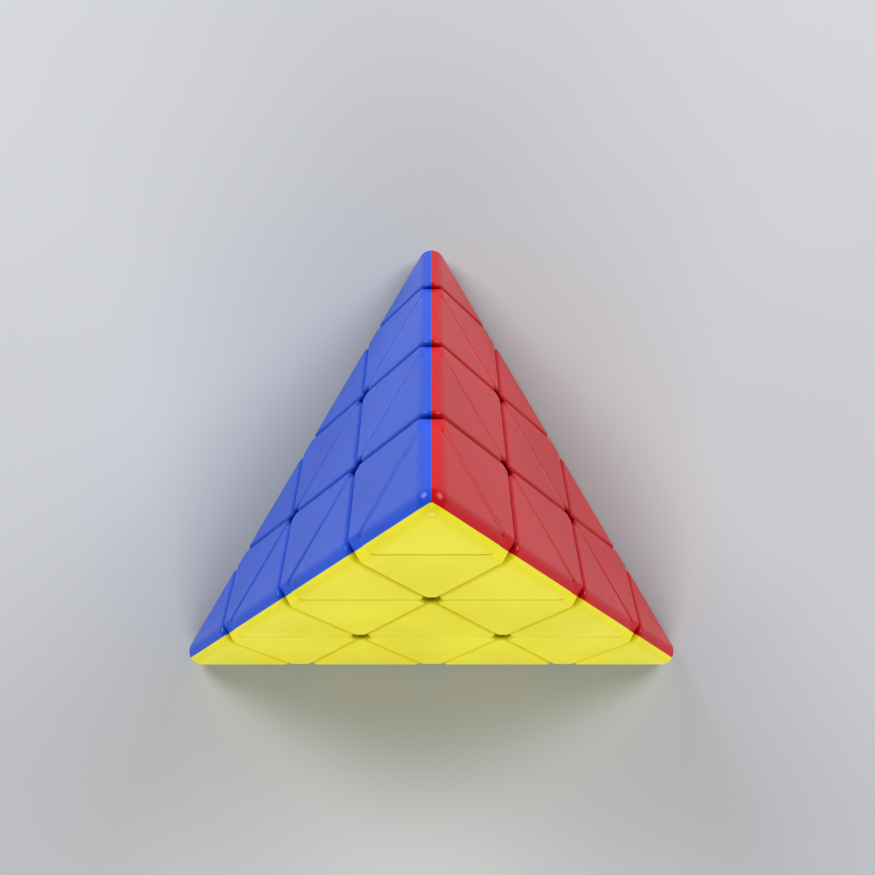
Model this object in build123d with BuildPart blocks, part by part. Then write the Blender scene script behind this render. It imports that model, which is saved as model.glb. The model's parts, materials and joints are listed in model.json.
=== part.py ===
"""A four-layer pyramid twisty puzzle, in millimetres.

The puzzle is a regular tetrahedron cut by planes parallel to its four faces, one layer apart.
It stands on its green face: Z is up, the apex is at the top and the origin is the middle of the green face.

Each kind of piece is made once in a corner frame: the puzzle's centre is the origin, Z points at
"own" corner, X leans towards the "next" corner, and the other two corners follow round Z.
Copies are then placed on the puzzle's real corners.
"""

import os
from math import sqrt

from build123d import *

# ---- the puzzle ----
EDGE = 118.0  # sharp edge of the tetrahedron, before its edges are rounded
LAYERS = 4
GAP = 0.3  # running gap between neighbouring pieces
EDGE_ROUND = 3.0  # radius along the tetrahedron's six edges
RIM_ROUND = 0.8  # radius along every groove
CORNER_SET = 1.9  # how far a facet's corner is cut back where six facets meet
NOTCH_SET = 3.3  # how far a piece is cut back where it meets an edge of the tetrahedron in a point

# ---- shells ----
WALL = 1.9  # coloured plastic
MIDDLE_SHELL_DEPTH = 11.0  # from the sharp edge down to a middle edge piece's foot

# ---- core and the spherical track that the feet run in ----
CORE_RADIUS = 15.0
TRACK_RADIUS = 19.0  # outside of the track
BITE = 2.0  # how far a foot reaches under its neighbour

# ---- tee feet of the edge pieces, and the ring slot that they run in ----
TEE_NECK = (10.9, 12.1)  # inner and outer radius
TEE_TOE = (9.6, 13.4)
TEE_NECK_DEPTH = 2.2
TEE_DEPTH = 4.4
TEE_CLEARANCE = 0.25

# ---- screw, magnets and hubs on each corner's axis ----
SCREW_RADIUS = 1.5
SCREW_CLEARANCE = 0.1
SCREW_IN_CORE = 9.0
SCREW_HEAD_RADIUS = 2.8
SCREW_HEAD_HEIGHT = 2.2
SCREW_SLOT = (0.7, 4.0, 1.2)  # width, length and depth of each arm of the cross
HUB_RADIUS = 6.6
HUB_WALL = 1.25
HUB_FLOOR = 4.0
STEM_CLEARANCE = 0.3
STEM_TIP_RADIUS = 2.8
SHANK_CLEARANCE = 0.1
SHANK_WALL = 1.0
SHANK_FLOOR = 1.5
MAGNET_RADIUS = 4.0
MAGNET_HEIGHT = 2.0
MAGNET_GAP = 1.2
CUP_HEIGHT = 1.2
TIP_PLATE = 2.0

# ---- worked out from these ----
HEIGHT = EDGE * sqrt(2 / 3)
LAYER = HEIGHT / LAYERS
INRADIUS = HEIGHT / 4  # centre of the tetrahedron to each face
HALF = GAP / 2
EDGE_DISTANCE = EDGE / sqrt(8)  # centre to each edge
BLOCK = 3 * EDGE  # a block that the whole puzzle is cut from
ON_CUT = 1e-4  # how near an edge's middle is to a cut that made it
CONE_SLOPE = sqrt(2) / 4  # a cone round a corner's axis that just touches the cuts through the centre
SHANK_RADIUS = HUB_RADIUS - HUB_WALL - SHANK_CLEARANCE
HUB_BASE = LAYER + HALF
HUB_BORE_BASE = HUB_BASE + HUB_FLOOR
SHANK_BASE = HUB_BORE_BASE + SHANK_CLEARANCE
MAGNET_SEAT = SHANK_BASE + SHANK_FLOOR
UPPER_MAGNET = MAGNET_SEAT + MAGNET_HEIGHT + MAGNET_GAP
CUP_BASE = UPPER_MAGNET + MAGNET_HEIGHT
HEAD_BASE = CUP_BASE + CUP_HEIGHT
TIP_BASE = 2 * LAYER + HALF

# ---- directions in the corner frame, from the centre to the four corners ----
OWN = Vector(0, 0, 1)
NEXT = Vector(sqrt(8) / 3, 0, -1 / 3)
SECOND = NEXT.rotate(Axis.Z, 120)
THIRD = NEXT.rotate(Axis.Z, 240)
CORNERS = (OWN, NEXT, SECOND, THIRD)


def lattice(own, following, second, third):
    """The point that lies this many layers towards each corner. The four numbers add up to nothing."""
    total = OWN * own + NEXT * following + SECOND * second + THIRD * third
    return total * 0.75 * LAYER


def below(direction, distance):
    """The limit that keeps what lies less than distance along direction."""
    return direction, distance


def above(direction, distance):
    """The limit that keeps what lies more than distance along direction."""
    return -direction, -distance


def corner_cut(corner, facet_middle):
    """The limit that cuts back a facet's corner, square to the facet."""
    direction = (corner - facet_middle).normalized()
    return below(direction, direction.dot(corner) - CORNER_SET)


def notch_cut(one, other):
    """The limit that cuts a piece back from the tetrahedron's edge between two corners."""
    return below((one + other).normalized(), EDGE_DISTANCE - NOTCH_SET)


def colour_cut(face, other_face):
    """The limit that keeps the side of a piece that belongs to one face's colour."""
    return below((face - other_face).normalized(), 0)


def trim(limits):
    """Cut the part that is being built down to what lies within every limit."""
    for direction, distance in limits:
        split(bisect_by=Plane(origin=direction * distance, z_dir=direction), keep=Keep.BOTTOM)


def edges_on(part, limits):
    """The edges that the cuts made."""
    return [
        edge
        for edge in part.edges()
        if any(abs(direction.dot(edge @ 0.5) - distance) < ON_CUT for direction, distance in limits)
    ]


# ---- the whole tetrahedron with rounded edges, which every piece is cut from ----
with BuildPart() as envelope:
    Box(BLOCK, BLOCK, BLOCK)
    trim([above(corner, -INRADIUS) for corner in CORNERS])
    fillet(envelope.edges(), EDGE_ROUND)


def rounded_piece(limits):
    """The tetrahedron cut to the limits, with rounded rims."""
    with BuildPart() as piece:
        add(envelope.part)
        trim(limits)
        fillet(edges_on(piece.part, limits), RIM_ROUND)
    return piece.part


def hollow(limits):
    """The inside of the tetrahedron's faces, one wall in, within the limits."""
    with BuildPart() as space:
        Box(BLOCK, BLOCK, BLOCK)
        trim([above(corner, WALL - INRADIUS) for corner in CORNERS])
        trim(limits)
    return space.part


def colours(piece, faces):
    """One solid for each face that the piece shows, split where the colours meet."""
    solids = []
    for face in faces:
        with BuildPart() as side:
            add(piece)
            trim([colour_cut(face, other) for other in faces if other is not face])
        solids += side.part.solids()
    return solids


def ring(radius, bore, base, height):
    """A ring round the corner's axis."""
    with BuildPart() as body:
        with BuildSketch(Plane.XY.offset(base)):
            Circle(radius)
            Circle(bore, mode=Mode.SUBTRACT)
        extrude(amount=height)
    return body.part


def tee(clearance):
    """A ring with a tee section round the corner's axis, hanging from the cut one layer from the centre."""
    top = LAYER + HALF
    toe_top = LAYER - TEE_NECK_DEPTH + clearance
    toe_bottom = LAYER - TEE_DEPTH - clearance
    with BuildPart() as body:
        with BuildSketch(Plane.XY.offset(toe_bottom)):
            Circle(TEE_TOE[1] + clearance)
            Circle(TEE_TOE[0] - clearance, mode=Mode.SUBTRACT)
        extrude(amount=toe_top - toe_bottom)
        with BuildSketch(Plane.XY.offset(toe_top)):
            Circle(TEE_NECK[1] + clearance)
            Circle(TEE_NECK[0] - clearance, mode=Mode.SUBTRACT)
        extrude(amount=top - toe_top)
    return body.part


def track_foot(outside, inside):
    """What a piece has between the core and the outside of the spherical track.

    outside holds its limits beyond the track, and inside its limits in the track, where it
    reaches under its neighbours.
    """
    with BuildPart() as neck:
        Sphere(TRACK_RADIUS + GAP)
        trim(outside + inside)
        Sphere(CORE_RADIUS + GAP, mode=Mode.SUBTRACT)
    with BuildPart() as foot:
        Sphere(TRACK_RADIUS)
        trim(inside)
        Sphere(CORE_RADIUS + GAP, mode=Mode.SUBTRACT)
        add(neck.part)
    return foot.part


# ---- tip: three coloured shells on a black base that turns on the screw ----
tip_limits = [above(OWN, TIP_BASE)]
tip_space = hollow([above(OWN, TIP_BASE)])
with BuildPart() as tip:
    add(rounded_piece(tip_limits))
    add(tip_space, mode=Mode.SUBTRACT)

with BuildPart() as tip_base:
    add(tip_space)
    trim([below(OWN, TIP_BASE + TIP_PLATE)])
    with BuildSketch(Plane.XY.offset(SHANK_BASE)):
        Circle(SHANK_RADIUS)
    extrude(amount=TIP_BASE - SHANK_BASE)
    with BuildSketch(Plane.XY.offset(MAGNET_SEAT)):
        Circle(SHANK_RADIUS - SHANK_WALL)
    extrude(amount=TIP_BASE + TIP_PLATE - MAGNET_SEAT, mode=Mode.SUBTRACT)
    with BuildSketch(Plane.XY.offset(SHANK_BASE)):
        Circle(SCREW_RADIUS + SCREW_CLEARANCE)
    extrude(amount=SHANK_FLOOR, mode=Mode.SUBTRACT)

# ---- corner piece: three coloured shells on a black stem with a hub ----
facet_sides = (NEXT, SECOND, THIRD)
corner_limits = [above(OWN, LAYER + HALF), below(OWN, 2 * LAYER - HALF)]
corner_limits += [below(side, -HALF) for side in facet_sides]
corner_limits += [notch_cut(OWN, side) for side in facet_sides]
corner_limits += [
    corner_cut(lattice(1, -1, 0, 0), lattice(5 / 3, -1, -1 / 3, -1 / 3)),
    corner_cut(lattice(1, 0, -1, 0), lattice(5 / 3, -1 / 3, -1, -1 / 3)),
    corner_cut(lattice(1, 0, 0, -1), lattice(5 / 3, -1 / 3, -1 / 3, -1)),
]
corner_space = hollow(
    [above(OWN, LAYER + HALF + WALL), below(OWN, 2 * LAYER - HALF - WALL)]
    + [below(side, -HALF - WALL) for side in facet_sides]
)
with BuildPart() as corner:
    add(rounded_piece(corner_limits))
    add(corner_space, mode=Mode.SUBTRACT)
    with BuildSketch(Plane.XY.offset(HUB_BASE)):
        Circle(HUB_RADIUS)
    extrude(amount=LAYER, mode=Mode.SUBTRACT)

with BuildPart() as corner_stem:
    stem_base = TRACK_RADIUS + GAP
    with BuildSketch(Plane.XY.offset(HUB_BASE)):
        Circle(HUB_RADIUS)
    extrude(amount=LAYER - GAP)
    with BuildSketch(Plane.XY.offset(stem_base)):
        Circle(stem_base * CONE_SLOPE - STEM_CLEARANCE)
    with BuildSketch(Plane.XY.offset(HUB_BASE)):
        Circle(HUB_RADIUS)
    loft()
    with BuildSketch(Plane.XY.offset(CORE_RADIUS + GAP)):
        Circle(STEM_TIP_RADIUS)
    extrude(amount=stem_base - CORE_RADIUS - GAP)
    with BuildSketch(Plane.XY.offset(HUB_BORE_BASE)):
        Circle(HUB_RADIUS - HUB_WALL)
    extrude(amount=LAYER, mode=Mode.SUBTRACT)
    with BuildSketch(Plane.XY.offset(CORE_RADIUS)):
        Circle(SCREW_RADIUS + SCREW_CLEARANCE)
    extrude(amount=HUB_BORE_BASE - CORE_RADIUS, mode=Mode.SUBTRACT)

# ---- edge piece: two coloured shells, and a tee foot ----
wing_limits = [above(OWN, LAYER + HALF), above(NEXT, HALF)]
wing_limits += [
    corner_cut(lattice(1, 0, -1, 0), lattice(4 / 3, 1 / 3, -1, -2 / 3)),
    corner_cut(lattice(1, 0, 0, -1), lattice(4 / 3, 1 / 3, -2 / 3, -1)),
]
with BuildPart() as wing:
    add(rounded_piece(wing_limits))
    add(hollow([above(OWN, LAYER + HALF + WALL), above(NEXT, HALF + WALL)]), mode=Mode.SUBTRACT)

with BuildPart() as wing_foot:
    add(tee(0))
    trim([above(NEXT, HALF), below(SECOND, -HALF), below(THIRD, -HALF)])

# ---- middle edge piece: two coloured shells over a foot with two ring slots ----
middle_sides = [above(OWN, HALF), above(NEXT, HALF), below(SECOND, -HALF), below(THIRD, -HALF)]
middle_limits = middle_sides + [below(OWN, LAYER - HALF), below(NEXT, LAYER - HALF)]
middle_limits += [
    corner_cut(lattice(1, 0, -1, 0), lattice(2 / 3, 2 / 3, -1, -1 / 3)),
    corner_cut(lattice(0, 1, -1, 0), lattice(2 / 3, 2 / 3, -1, -1 / 3)),
    corner_cut(lattice(1, 0, 0, -1), lattice(2 / 3, 2 / 3, -1 / 3, -1)),
    corner_cut(lattice(0, 1, 0, -1), lattice(2 / 3, 2 / 3, -1 / 3, -1)),
    notch_cut(OWN, NEXT),
]
middle_block = rounded_piece(middle_limits)
middle_foot_space = hollow([below((OWN + NEXT).normalized(), EDGE_DISTANCE - MIDDLE_SHELL_DEPTH)])
with BuildPart() as middle:
    add(middle_block)
    add(middle_foot_space, mode=Mode.SUBTRACT)

middle_bite = [above(corner_way, HALF - BITE) for corner_way in (OWN, NEXT)]
middle_bite += [below(corner_way, -HALF - BITE) for corner_way in (SECOND, THIRD)]
next_frame = Plane(origin=(0, 0, 0), x_dir=OWN - NEXT * OWN.dot(NEXT), z_dir=NEXT)
with BuildPart() as middle_foot:
    add(middle_block)
    add(middle_foot_space, mode=Mode.INTERSECT)
    add(tee(TEE_CLEARANCE), mode=Mode.SUBTRACT)
    add(tee(TEE_CLEARANCE).moved(next_frame.location), mode=Mode.SUBTRACT)
    Sphere(TRACK_RADIUS + GAP, mode=Mode.SUBTRACT)
    add(track_foot(middle_sides, middle_bite))

# ---- face centre: one coloured plate on a foot; its face is opposite the frame's own corner ----
centre_sides = [above(side, HALF) for side in facet_sides]
centre_limits = centre_sides + [
    corner_cut(lattice(-1, 1, 0, 0), OWN * -LAYER),
    corner_cut(lattice(-1, 0, 1, 0), OWN * -LAYER),
    corner_cut(lattice(-1, 0, 0, 1), OWN * -LAYER),
]
centre_bite = [above(side, HALF - BITE) for side in facet_sides] + [below(OWN, -HALF - BITE)]
centre_block = rounded_piece(centre_limits)
with BuildPart() as face_centre:
    add(centre_block)
    trim([below(OWN, WALL - INRADIUS)])

with BuildPart() as centre_foot:
    add(centre_block)
    trim([above(OWN, WALL - INRADIUS)])
    Sphere(TRACK_RADIUS + GAP, mode=Mode.SUBTRACT)
    add(track_foot(centre_sides, centre_bite))

# ---- what is fixed to the core on each axis ----
with BuildPart() as arm_screw:
    with BuildSketch(Plane.XY.offset(CORE_RADIUS - SCREW_IN_CORE)):
        Circle(SCREW_RADIUS)
    extrude(amount=HEAD_BASE - CORE_RADIUS + SCREW_IN_CORE)
    with BuildSketch(Plane.XY.offset(HEAD_BASE)):
        Circle(SCREW_HEAD_RADIUS)
    extrude(amount=SCREW_HEAD_HEIGHT)
    slot_width, slot_length, slot_depth = SCREW_SLOT
    with BuildSketch(Plane.XY.offset(HEAD_BASE + SCREW_HEAD_HEIGHT - slot_depth)):
        Rectangle(slot_length, slot_width)
        Rectangle(slot_width, slot_length)
    extrude(amount=slot_depth, mode=Mode.SUBTRACT)

tip_magnet = ring(MAGNET_RADIUS, SCREW_RADIUS + 2 * SCREW_CLEARANCE, MAGNET_SEAT, MAGNET_HEIGHT)
tension_magnet = ring(MAGNET_RADIUS, SCREW_RADIUS + SCREW_CLEARANCE, UPPER_MAGNET, MAGNET_HEIGHT)
tension_cup = ring(MAGNET_RADIUS, SCREW_RADIUS, CUP_BASE, CUP_HEIGHT)

# ---- the puzzle's real corners, the face opposite each one, and one neighbour to line pieces up with ----
CENTRE = Vector(0, 0, INRADIUS)
PLACES = {
    "apex": OWN,
    "rear": NEXT.rotate(Axis.Z, 90),
    "left": NEXT.rotate(Axis.Z, 210),
    "right": NEXT.rotate(Axis.Z, -30),
}
OPPOSITE_FACE = {"apex": "bottom", "rear": "front", "left": "right", "right": "left"}
NEIGHBOUR = {"apex": "left", "rear": "apex", "left": "apex", "right": "apex"}
LOWER_EDGES = [("left", "right"), ("right", "rear"), ("rear", "left")]
UPPER_EDGES = [("apex", "left"), ("apex", "right"), ("apex", "rear")]


def place(own, following):
    """The real plane of the corner frame, for its own corner and the next one."""
    axis = PLACES[own]
    return Plane(origin=CENTRE, x_dir=PLACES[following] - axis * axis.dot(PLACES[following]), z_dir=axis)


def write(label, solids, pairs):
    """Write one node: these solids, once for each pair of own corner and next corner."""
    placed = [solid.moved(place(own, following).location) for own, following in pairs for solid in solids]
    node = Compound(label=label, children=placed)
    export_step(node, f"parts/{label}.step")


# ---- core ----
with BuildPart() as core:
    with Locations(CENTRE):
        Sphere(CORE_RADIUS)
    for own, following in NEIGHBOUR.items():
        with BuildSketch(place(own, following).offset(CORE_RADIUS - SCREW_IN_CORE)):
            Circle(SCREW_RADIUS)
        extrude(amount=SCREW_IN_CORE, mode=Mode.SUBTRACT)
core.part.label = "core"

# ---- files ----
os.makedirs("parts", exist_ok=True)
export_step(core.part, "parts/core.step")

tip_colours = colours(tip.part, facet_sides)
corner_colours = colours(corner.part, facet_sides)
wing_colours = colours(wing.part, (SECOND, THIRD))
middle_colours = colours(middle.part, (SECOND, THIRD))

for own, following in NEIGHBOUR.items():
    write(f"{own}_tip", tip_colours, [(own, following)])
    write(f"{own}_tip_base", tip_base.solids(), [(own, following)])
    write(f"{own}_tip_magnet", tip_magnet.solids(), [(own, following)])
    write(f"{own}_corner", corner_colours, [(own, following)])
    write(f"{own}_corner_stem", corner_stem.solids(), [(own, following)])
    write(f"{OPPOSITE_FACE[own]}_centre", face_centre.solids(), [(own, following)])

for one, other in UPPER_EDGES + LOWER_EDGES:
    write(f"{one}_{other}_wing", wing_colours, [(one, other)])
    write(f"{other}_{one}_wing", wing_colours, [(other, one)])
    write(f"{one}_{other}_middle_edge", middle_colours, [(one, other)])

for one, other in UPPER_EDGES:
    write(f"{other}_{one}_wing_foot", wing_foot.solids(), [(other, one)])
    write(
        f"{other}_wing_feet",
        wing_foot.solids(),
        [(other, third) for third in PLACES if third not in (one, other)],
    )
write("apex_wing_feet", wing_foot.solids(), UPPER_EDGES)
write("upper_middle_feet", middle_foot.solids(), UPPER_EDGES)
write("lower_middle_feet", middle_foot.solids(), LOWER_EDGES)
write("upper_centre_feet", centre_foot.solids(), [(own, "apex") for own in PLACES if own != "apex"])
write("bottom_centre_foot", centre_foot.solids(), [("apex", NEIGHBOUR["apex"])])
write("arm_screws", arm_screw.solids(), NEIGHBOUR.items())
write("tension_magnets", tension_magnet.solids(), NEIGHBOUR.items())
write("tension_cups", tension_cup.solids(), NEIGHBOUR.items())
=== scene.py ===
"""The pyramid twisty puzzle's looks: coloured shells with moulded-plastic finish, seen from above its apex."""

import json
import math

import bpy
from mathutils import Matrix, Vector

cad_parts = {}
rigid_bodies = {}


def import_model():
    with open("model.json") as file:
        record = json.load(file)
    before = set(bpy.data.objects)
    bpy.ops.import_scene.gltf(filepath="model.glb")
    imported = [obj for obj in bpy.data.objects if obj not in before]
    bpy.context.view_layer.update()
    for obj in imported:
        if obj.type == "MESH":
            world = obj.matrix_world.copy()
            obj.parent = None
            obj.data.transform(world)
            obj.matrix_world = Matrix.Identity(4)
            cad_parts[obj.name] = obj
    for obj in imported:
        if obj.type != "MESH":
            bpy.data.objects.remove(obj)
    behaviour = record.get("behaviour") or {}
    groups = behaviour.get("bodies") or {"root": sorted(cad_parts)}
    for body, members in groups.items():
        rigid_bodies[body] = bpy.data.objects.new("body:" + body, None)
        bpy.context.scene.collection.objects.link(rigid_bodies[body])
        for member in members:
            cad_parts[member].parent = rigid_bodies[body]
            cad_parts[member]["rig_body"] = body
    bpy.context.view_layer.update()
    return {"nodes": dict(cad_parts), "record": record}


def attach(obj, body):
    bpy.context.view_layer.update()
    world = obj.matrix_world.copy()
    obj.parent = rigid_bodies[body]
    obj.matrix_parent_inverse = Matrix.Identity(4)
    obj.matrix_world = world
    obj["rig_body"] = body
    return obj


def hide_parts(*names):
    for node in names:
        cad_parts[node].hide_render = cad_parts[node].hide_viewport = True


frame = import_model()

EDGE = 0.118
LAYER = EDGE * math.sqrt(2 / 3) / 4
INSET = 0.0001  # how far inside its face a point is taken, to tell which solid it belongs to
CENTRE = Vector((0, 0, LAYER))
LEAN = math.sqrt(8) / 3
CORNERS = {
    "apex": Vector((0, 0, 1)),
    "rear": Vector((0, LEAN, -1 / 3)),
    "left": Vector((-LEAN * math.sqrt(3) / 2, -LEAN / 2, -1 / 3)),
    "right": Vector((LEAN * math.sqrt(3) / 2, -LEAN / 2, -1 / 3)),
}
# the colour of the face opposite each corner
OPPOSITE = {"apex": "green", "rear": "yellow", "left": "red", "right": "blue"}


# ---------------------------------------------------------------- materials
class Tree:
    """A material and shorthand for its nodes."""

    def __init__(self, name):
        self.material = bpy.data.materials.new(name)
        self.material.use_nodes = True
        self.tree = self.material.node_tree
        self.shader = next(n for n in self.tree.nodes if n.type == "BSDF_PRINCIPLED")
        self.place = self.node("ShaderNodeTexCoord").outputs["Object"]

    def node(self, kind, **sockets):
        made = self.tree.nodes.new(kind)
        for name, value in sockets.items():
            made.inputs[name].default_value = value
        return made

    def link(self, output, target):
        self.tree.links.new(output, target)

    def noise(self, scale, detail=3.0, roughness=0.5):
        made = self.node("ShaderNodeTexNoise", Scale=scale, Detail=detail, Roughness=roughness)
        self.link(self.place, made.inputs["Vector"])
        return made.outputs["Fac"]

    def ramp(self, factor, low, high, start=0.3, end=0.7):
        """A colour that goes from low to high as the factor goes from start to end."""
        made = self.node("ShaderNodeValToRGB")
        made.color_ramp.elements[0].position = start
        made.color_ramp.elements[0].color = (*low, 1)
        made.color_ramp.elements[1].position = end
        made.color_ramp.elements[1].color = (*high, 1)
        self.link(factor, made.inputs["Fac"])
        return made.outputs["Color"]

    def spread(self, factor, low, high):
        """A number that goes from low to high with the factor."""
        made = self.node("ShaderNodeMapRange")
        made.inputs["From Min"].default_value = 0.3
        made.inputs["From Max"].default_value = 0.7
        made.inputs["To Min"].default_value = low
        made.inputs["To Max"].default_value = high
        self.link(factor, made.inputs["Value"])
        return made.outputs["Result"]

    def bump(self, height, distance, strength, below=None):
        made = self.node("ShaderNodeBump", Strength=strength, Distance=distance)
        self.link(height, made.inputs["Height"])
        if below is not None:
            self.link(below, made.inputs["Normal"])
        return made.outputs["Normal"]


def shell_plastic(name, dark, light):
    """Satin-gloss moulded ABS: slow colour drift, fine haze in the gloss, and faint moulding ripple."""
    tree = Tree(name)
    tree.link(tree.ramp(tree.noise(45, 2), dark, light), tree.shader.inputs["Base Color"])
    haze = tree.noise(700, 5, 0.6)
    tree.link(tree.spread(haze, 0.21, 0.26), tree.shader.inputs["Roughness"])
    ripple = tree.bump(tree.noise(120, 1), 0.00003, 0.2)
    skin = tree.bump(tree.noise(2600, 2), 0.000002, 0.08, ripple)
    tree.link(skin, tree.shader.inputs["Normal"])
    tree.shader.inputs["IOR"].default_value = 1.5
    tree.shader.inputs["Specular IOR Level"].default_value = 0.14
    tree.shader.inputs["Coat Weight"].default_value = 0.06
    tree.shader.inputs["Coat Roughness"].default_value = 0.12
    return tree.material


def inner_plastic():
    """Matte black low-friction plastic with a fine grain."""
    tree = Tree("inner_black")
    grain = tree.ramp(tree.noise(160, 4), (0.010, 0.010, 0.011), (0.024, 0.024, 0.026))
    tree.link(grain, tree.shader.inputs["Base Color"])
    tree.link(tree.spread(tree.noise(1800, 4), 0.42, 0.6), tree.shader.inputs["Roughness"])
    tree.link(tree.bump(tree.noise(4200, 3), 0.00002, 0.4), tree.shader.inputs["Normal"])
    return tree.material


def metal(name, dark, light, rough, grain):
    """Plated metal with a fine grain in its polish."""
    tree = Tree(name)
    tree.link(tree.ramp(tree.noise(300, 4), dark, light), tree.shader.inputs["Base Color"])
    tree.link(tree.spread(tree.noise(grain, 5), *rough), tree.shader.inputs["Roughness"])
    tree.link(tree.bump(tree.noise(grain, 4), 0.00001, 0.3), tree.shader.inputs["Normal"])
    tree.shader.inputs["Metallic"].default_value = 1.0
    return tree.material


FINISHES = {
    "blue_shell": shell_plastic("blue_abs", (0.010, 0.066, 0.52), (0.015, 0.082, 0.62)),
    "red_shell": shell_plastic("red_abs", (0.470, 0.003, 0.007), (0.540, 0.005, 0.010)),
    "yellow_shell": shell_plastic("yellow_abs", (0.78, 0.69, 0.012), (0.88, 0.80, 0.025)),
    "green_shell": shell_plastic("green_abs", (0.006, 0.300, 0.050), (0.012, 0.380, 0.075)),
    "inner_plastic": inner_plastic(),
    "steel": metal("zinc_plate", (0.42, 0.42, 0.44), (0.60, 0.60, 0.62), (0.25, 0.38), 900),
    "magnet": metal("nickel_plate", (0.62, 0.60, 0.56), (0.76, 0.74, 0.70), (0.12, 0.22), 700),
}


def colour_at(point):
    """The colour of the face that a point inside a shell belongs to."""
    offset = point - CENTRE
    return OPPOSITE[min(CORNERS, key=lambda corner: CORNERS[corner].dot(offset))]


def coloured_pieces(node, obj):
    """Stand one piece for each colour in for a CAD node's shell."""
    mesh = obj.data
    normals = [tuple(n.vector) for n in mesh.corner_normals]
    sides = {}
    for face in mesh.polygons:
        sides.setdefault(colour_at(face.center - face.normal * INSET), []).append(face)
    for colour, faces in sides.items():
        index = {}
        corners, loop_normals = [], []
        for face in faces:
            corners.append([index.setdefault(v, len(index)) for v in face.vertices])
            loop_normals += [normals[i] for i in face.loop_indices]
        side = bpy.data.meshes.new(f"{node}.{colour}")
        side.from_pydata([mesh.vertices[v].co for v in index], [], corners)
        side.polygons.foreach_set("use_smooth", [True] * len(side.polygons))
        side.normals_split_custom_set(loop_normals)
        piece = bpy.data.objects.new(f"{node}.{colour}", side)
        bpy.context.scene.collection.objects.link(piece)
        side.materials.append(FINISHES[f"{colour}_shell"])
        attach(piece, obj["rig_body"])
        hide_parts(node)


SLOTS = {part["node"]: part["material_slot"] for part in frame["record"]["subparts"]}
for node, obj in frame["nodes"].items():
    if node.endswith(("_tip", "_corner", "_wing", "_middle_edge")):
        coloured_pieces(node, obj)
    else:
        obj.data.materials.clear()
        obj.data.materials.append(FINISHES[SLOTS[node]])


# ---------------------------------------------------------------- stage
def paper():
    """Pale matte studio paper."""
    tree = Tree("studio_paper")
    tone = tree.ramp(tree.noise(6, 3), (0.50, 0.51, 0.53), (0.54, 0.55, 0.57))
    tree.link(tone, tree.shader.inputs["Base Color"])
    tree.link(tree.bump(tree.noise(900, 3), 0.0001, 0.2), tree.shader.inputs["Normal"])
    tree.shader.inputs["Roughness"].default_value = 0.9
    tree.shader.inputs["Specular IOR Level"].default_value = 0.2
    return tree.material


bpy.ops.mesh.primitive_plane_add(size=6, location=(0, 0, 0))
floor = bpy.context.object
floor.name = "floor"
floor.data.materials.append(paper())


def softbox(name, place, width, height, power, tint=(1, 1, 1)):
    """A soft rectangular light that faces the puzzle."""
    data = bpy.data.lights.new(name, "AREA")
    data.shape = "RECTANGLE"
    data.size, data.size_y = width, height
    data.energy = power
    data.color = tint
    lamp = bpy.data.objects.new(name, data)
    lamp.location = place
    lamp.rotation_euler = (CENTRE - Vector(place)).to_track_quat("-Z", "Y").to_euler()
    bpy.context.scene.collection.objects.link(lamp)


softbox("left_box", (-0.48, 0.46, 0.36), 0.35, 0.35, 5.0, (1.0, 0.99, 0.97))
softbox("right_box", (0.50, 0.40, 0.34), 0.35, 0.35, 4.1)
softbox("front_box", (0.0, -0.68, 0.26), 0.5, 0.3, 4.2)

world = bpy.data.worlds.new("studio")
world.use_nodes = True
world.node_tree.nodes["Background"].inputs["Color"].default_value = (0.85, 0.9, 1.0, 1)
world.node_tree.nodes["Background"].inputs["Strength"].default_value = 0.16
bpy.context.scene.world = world

# ---------------------------------------------------------------- camera
CAMERA_PLACE = Vector((0.0, -0.0082, 0.2784))
CAMERA_ELEVATION = 83.5
CAMERA_LENS = 49.4
CAMERA_SHIFT = (0.0069, -0.0225)

camera = bpy.data.objects.new("camera", bpy.data.cameras.new("camera"))
camera.data.sensor_width = 36
camera.data.lens = CAMERA_LENS
camera.data.shift_x, camera.data.shift_y = CAMERA_SHIFT
camera.data.clip_start, camera.data.clip_end = 0.01, 20
tilt = Matrix.Rotation(math.radians(90 - CAMERA_ELEVATION), 4, "X")
camera.matrix_world = Matrix.Translation(CAMERA_PLACE) @ tilt
bpy.context.scene.collection.objects.link(camera)
bpy.context.scene.camera = camera

bpy.context.scene.view_settings.view_transform = "Standard"
